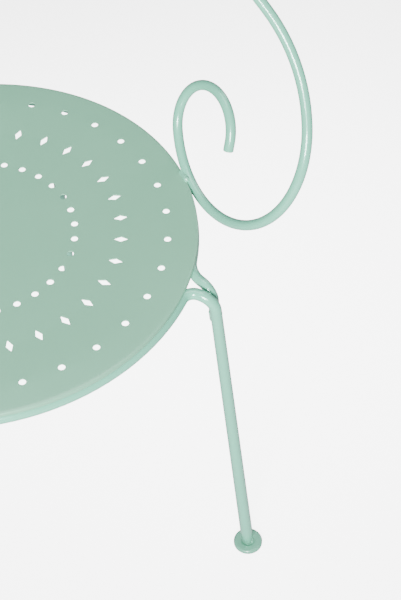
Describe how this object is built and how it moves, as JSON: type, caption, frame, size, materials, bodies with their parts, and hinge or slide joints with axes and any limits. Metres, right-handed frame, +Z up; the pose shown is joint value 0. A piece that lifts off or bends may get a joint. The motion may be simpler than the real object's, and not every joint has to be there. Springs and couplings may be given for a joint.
{
  "type": "stacking chair",
  "caption": "Open chair of bent, powder-coated steel rod with a round perforated seat, scrolled arm loops and disc feet.",
  "frame": {"origin": "on the floor, below the centre of the round seat", "axes": "+Z up, the chair faces -Y, +X is the sitter's left"},
  "size_m": [0.5802, 0.4322, 0.9295],
  "materials": {
    "powder_coat_rod": "satin powder coat",
    "powder_coat_sheet": "satin powder coat",
    "powder_coat_foot": "satin powder coat",
    "coated_weld": "satin powder coat over a weld bead"
  },
  "bodies": {
    "root": {"seat_pan": "powder_coat_sheet", "front_leg_frame": "powder_coat_rod", "side_rail_right": "powder_coat_rod", "side_rail_left": "powder_coat_rod", "rear_arc": "powder_coat_rod", "arm_hoop": "powder_coat_rod", "back_inner_arch": "powder_coat_rod", "foot_disc_front_right": "powder_coat_foot", "foot_disc_front_left": "powder_coat_foot", "foot_disc_rear_right": "powder_coat_foot", "foot_disc_rear_left": "powder_coat_foot", "arm_welds": "coated_weld", "knee_welds": "coated_weld", "rear_arc_welds": "coated_weld", "seat_tack_welds": "coated_weld", "foot_welds": "coated_weld", "back_arch_welds": "coated_weld"}
  },
  "joints": []
}
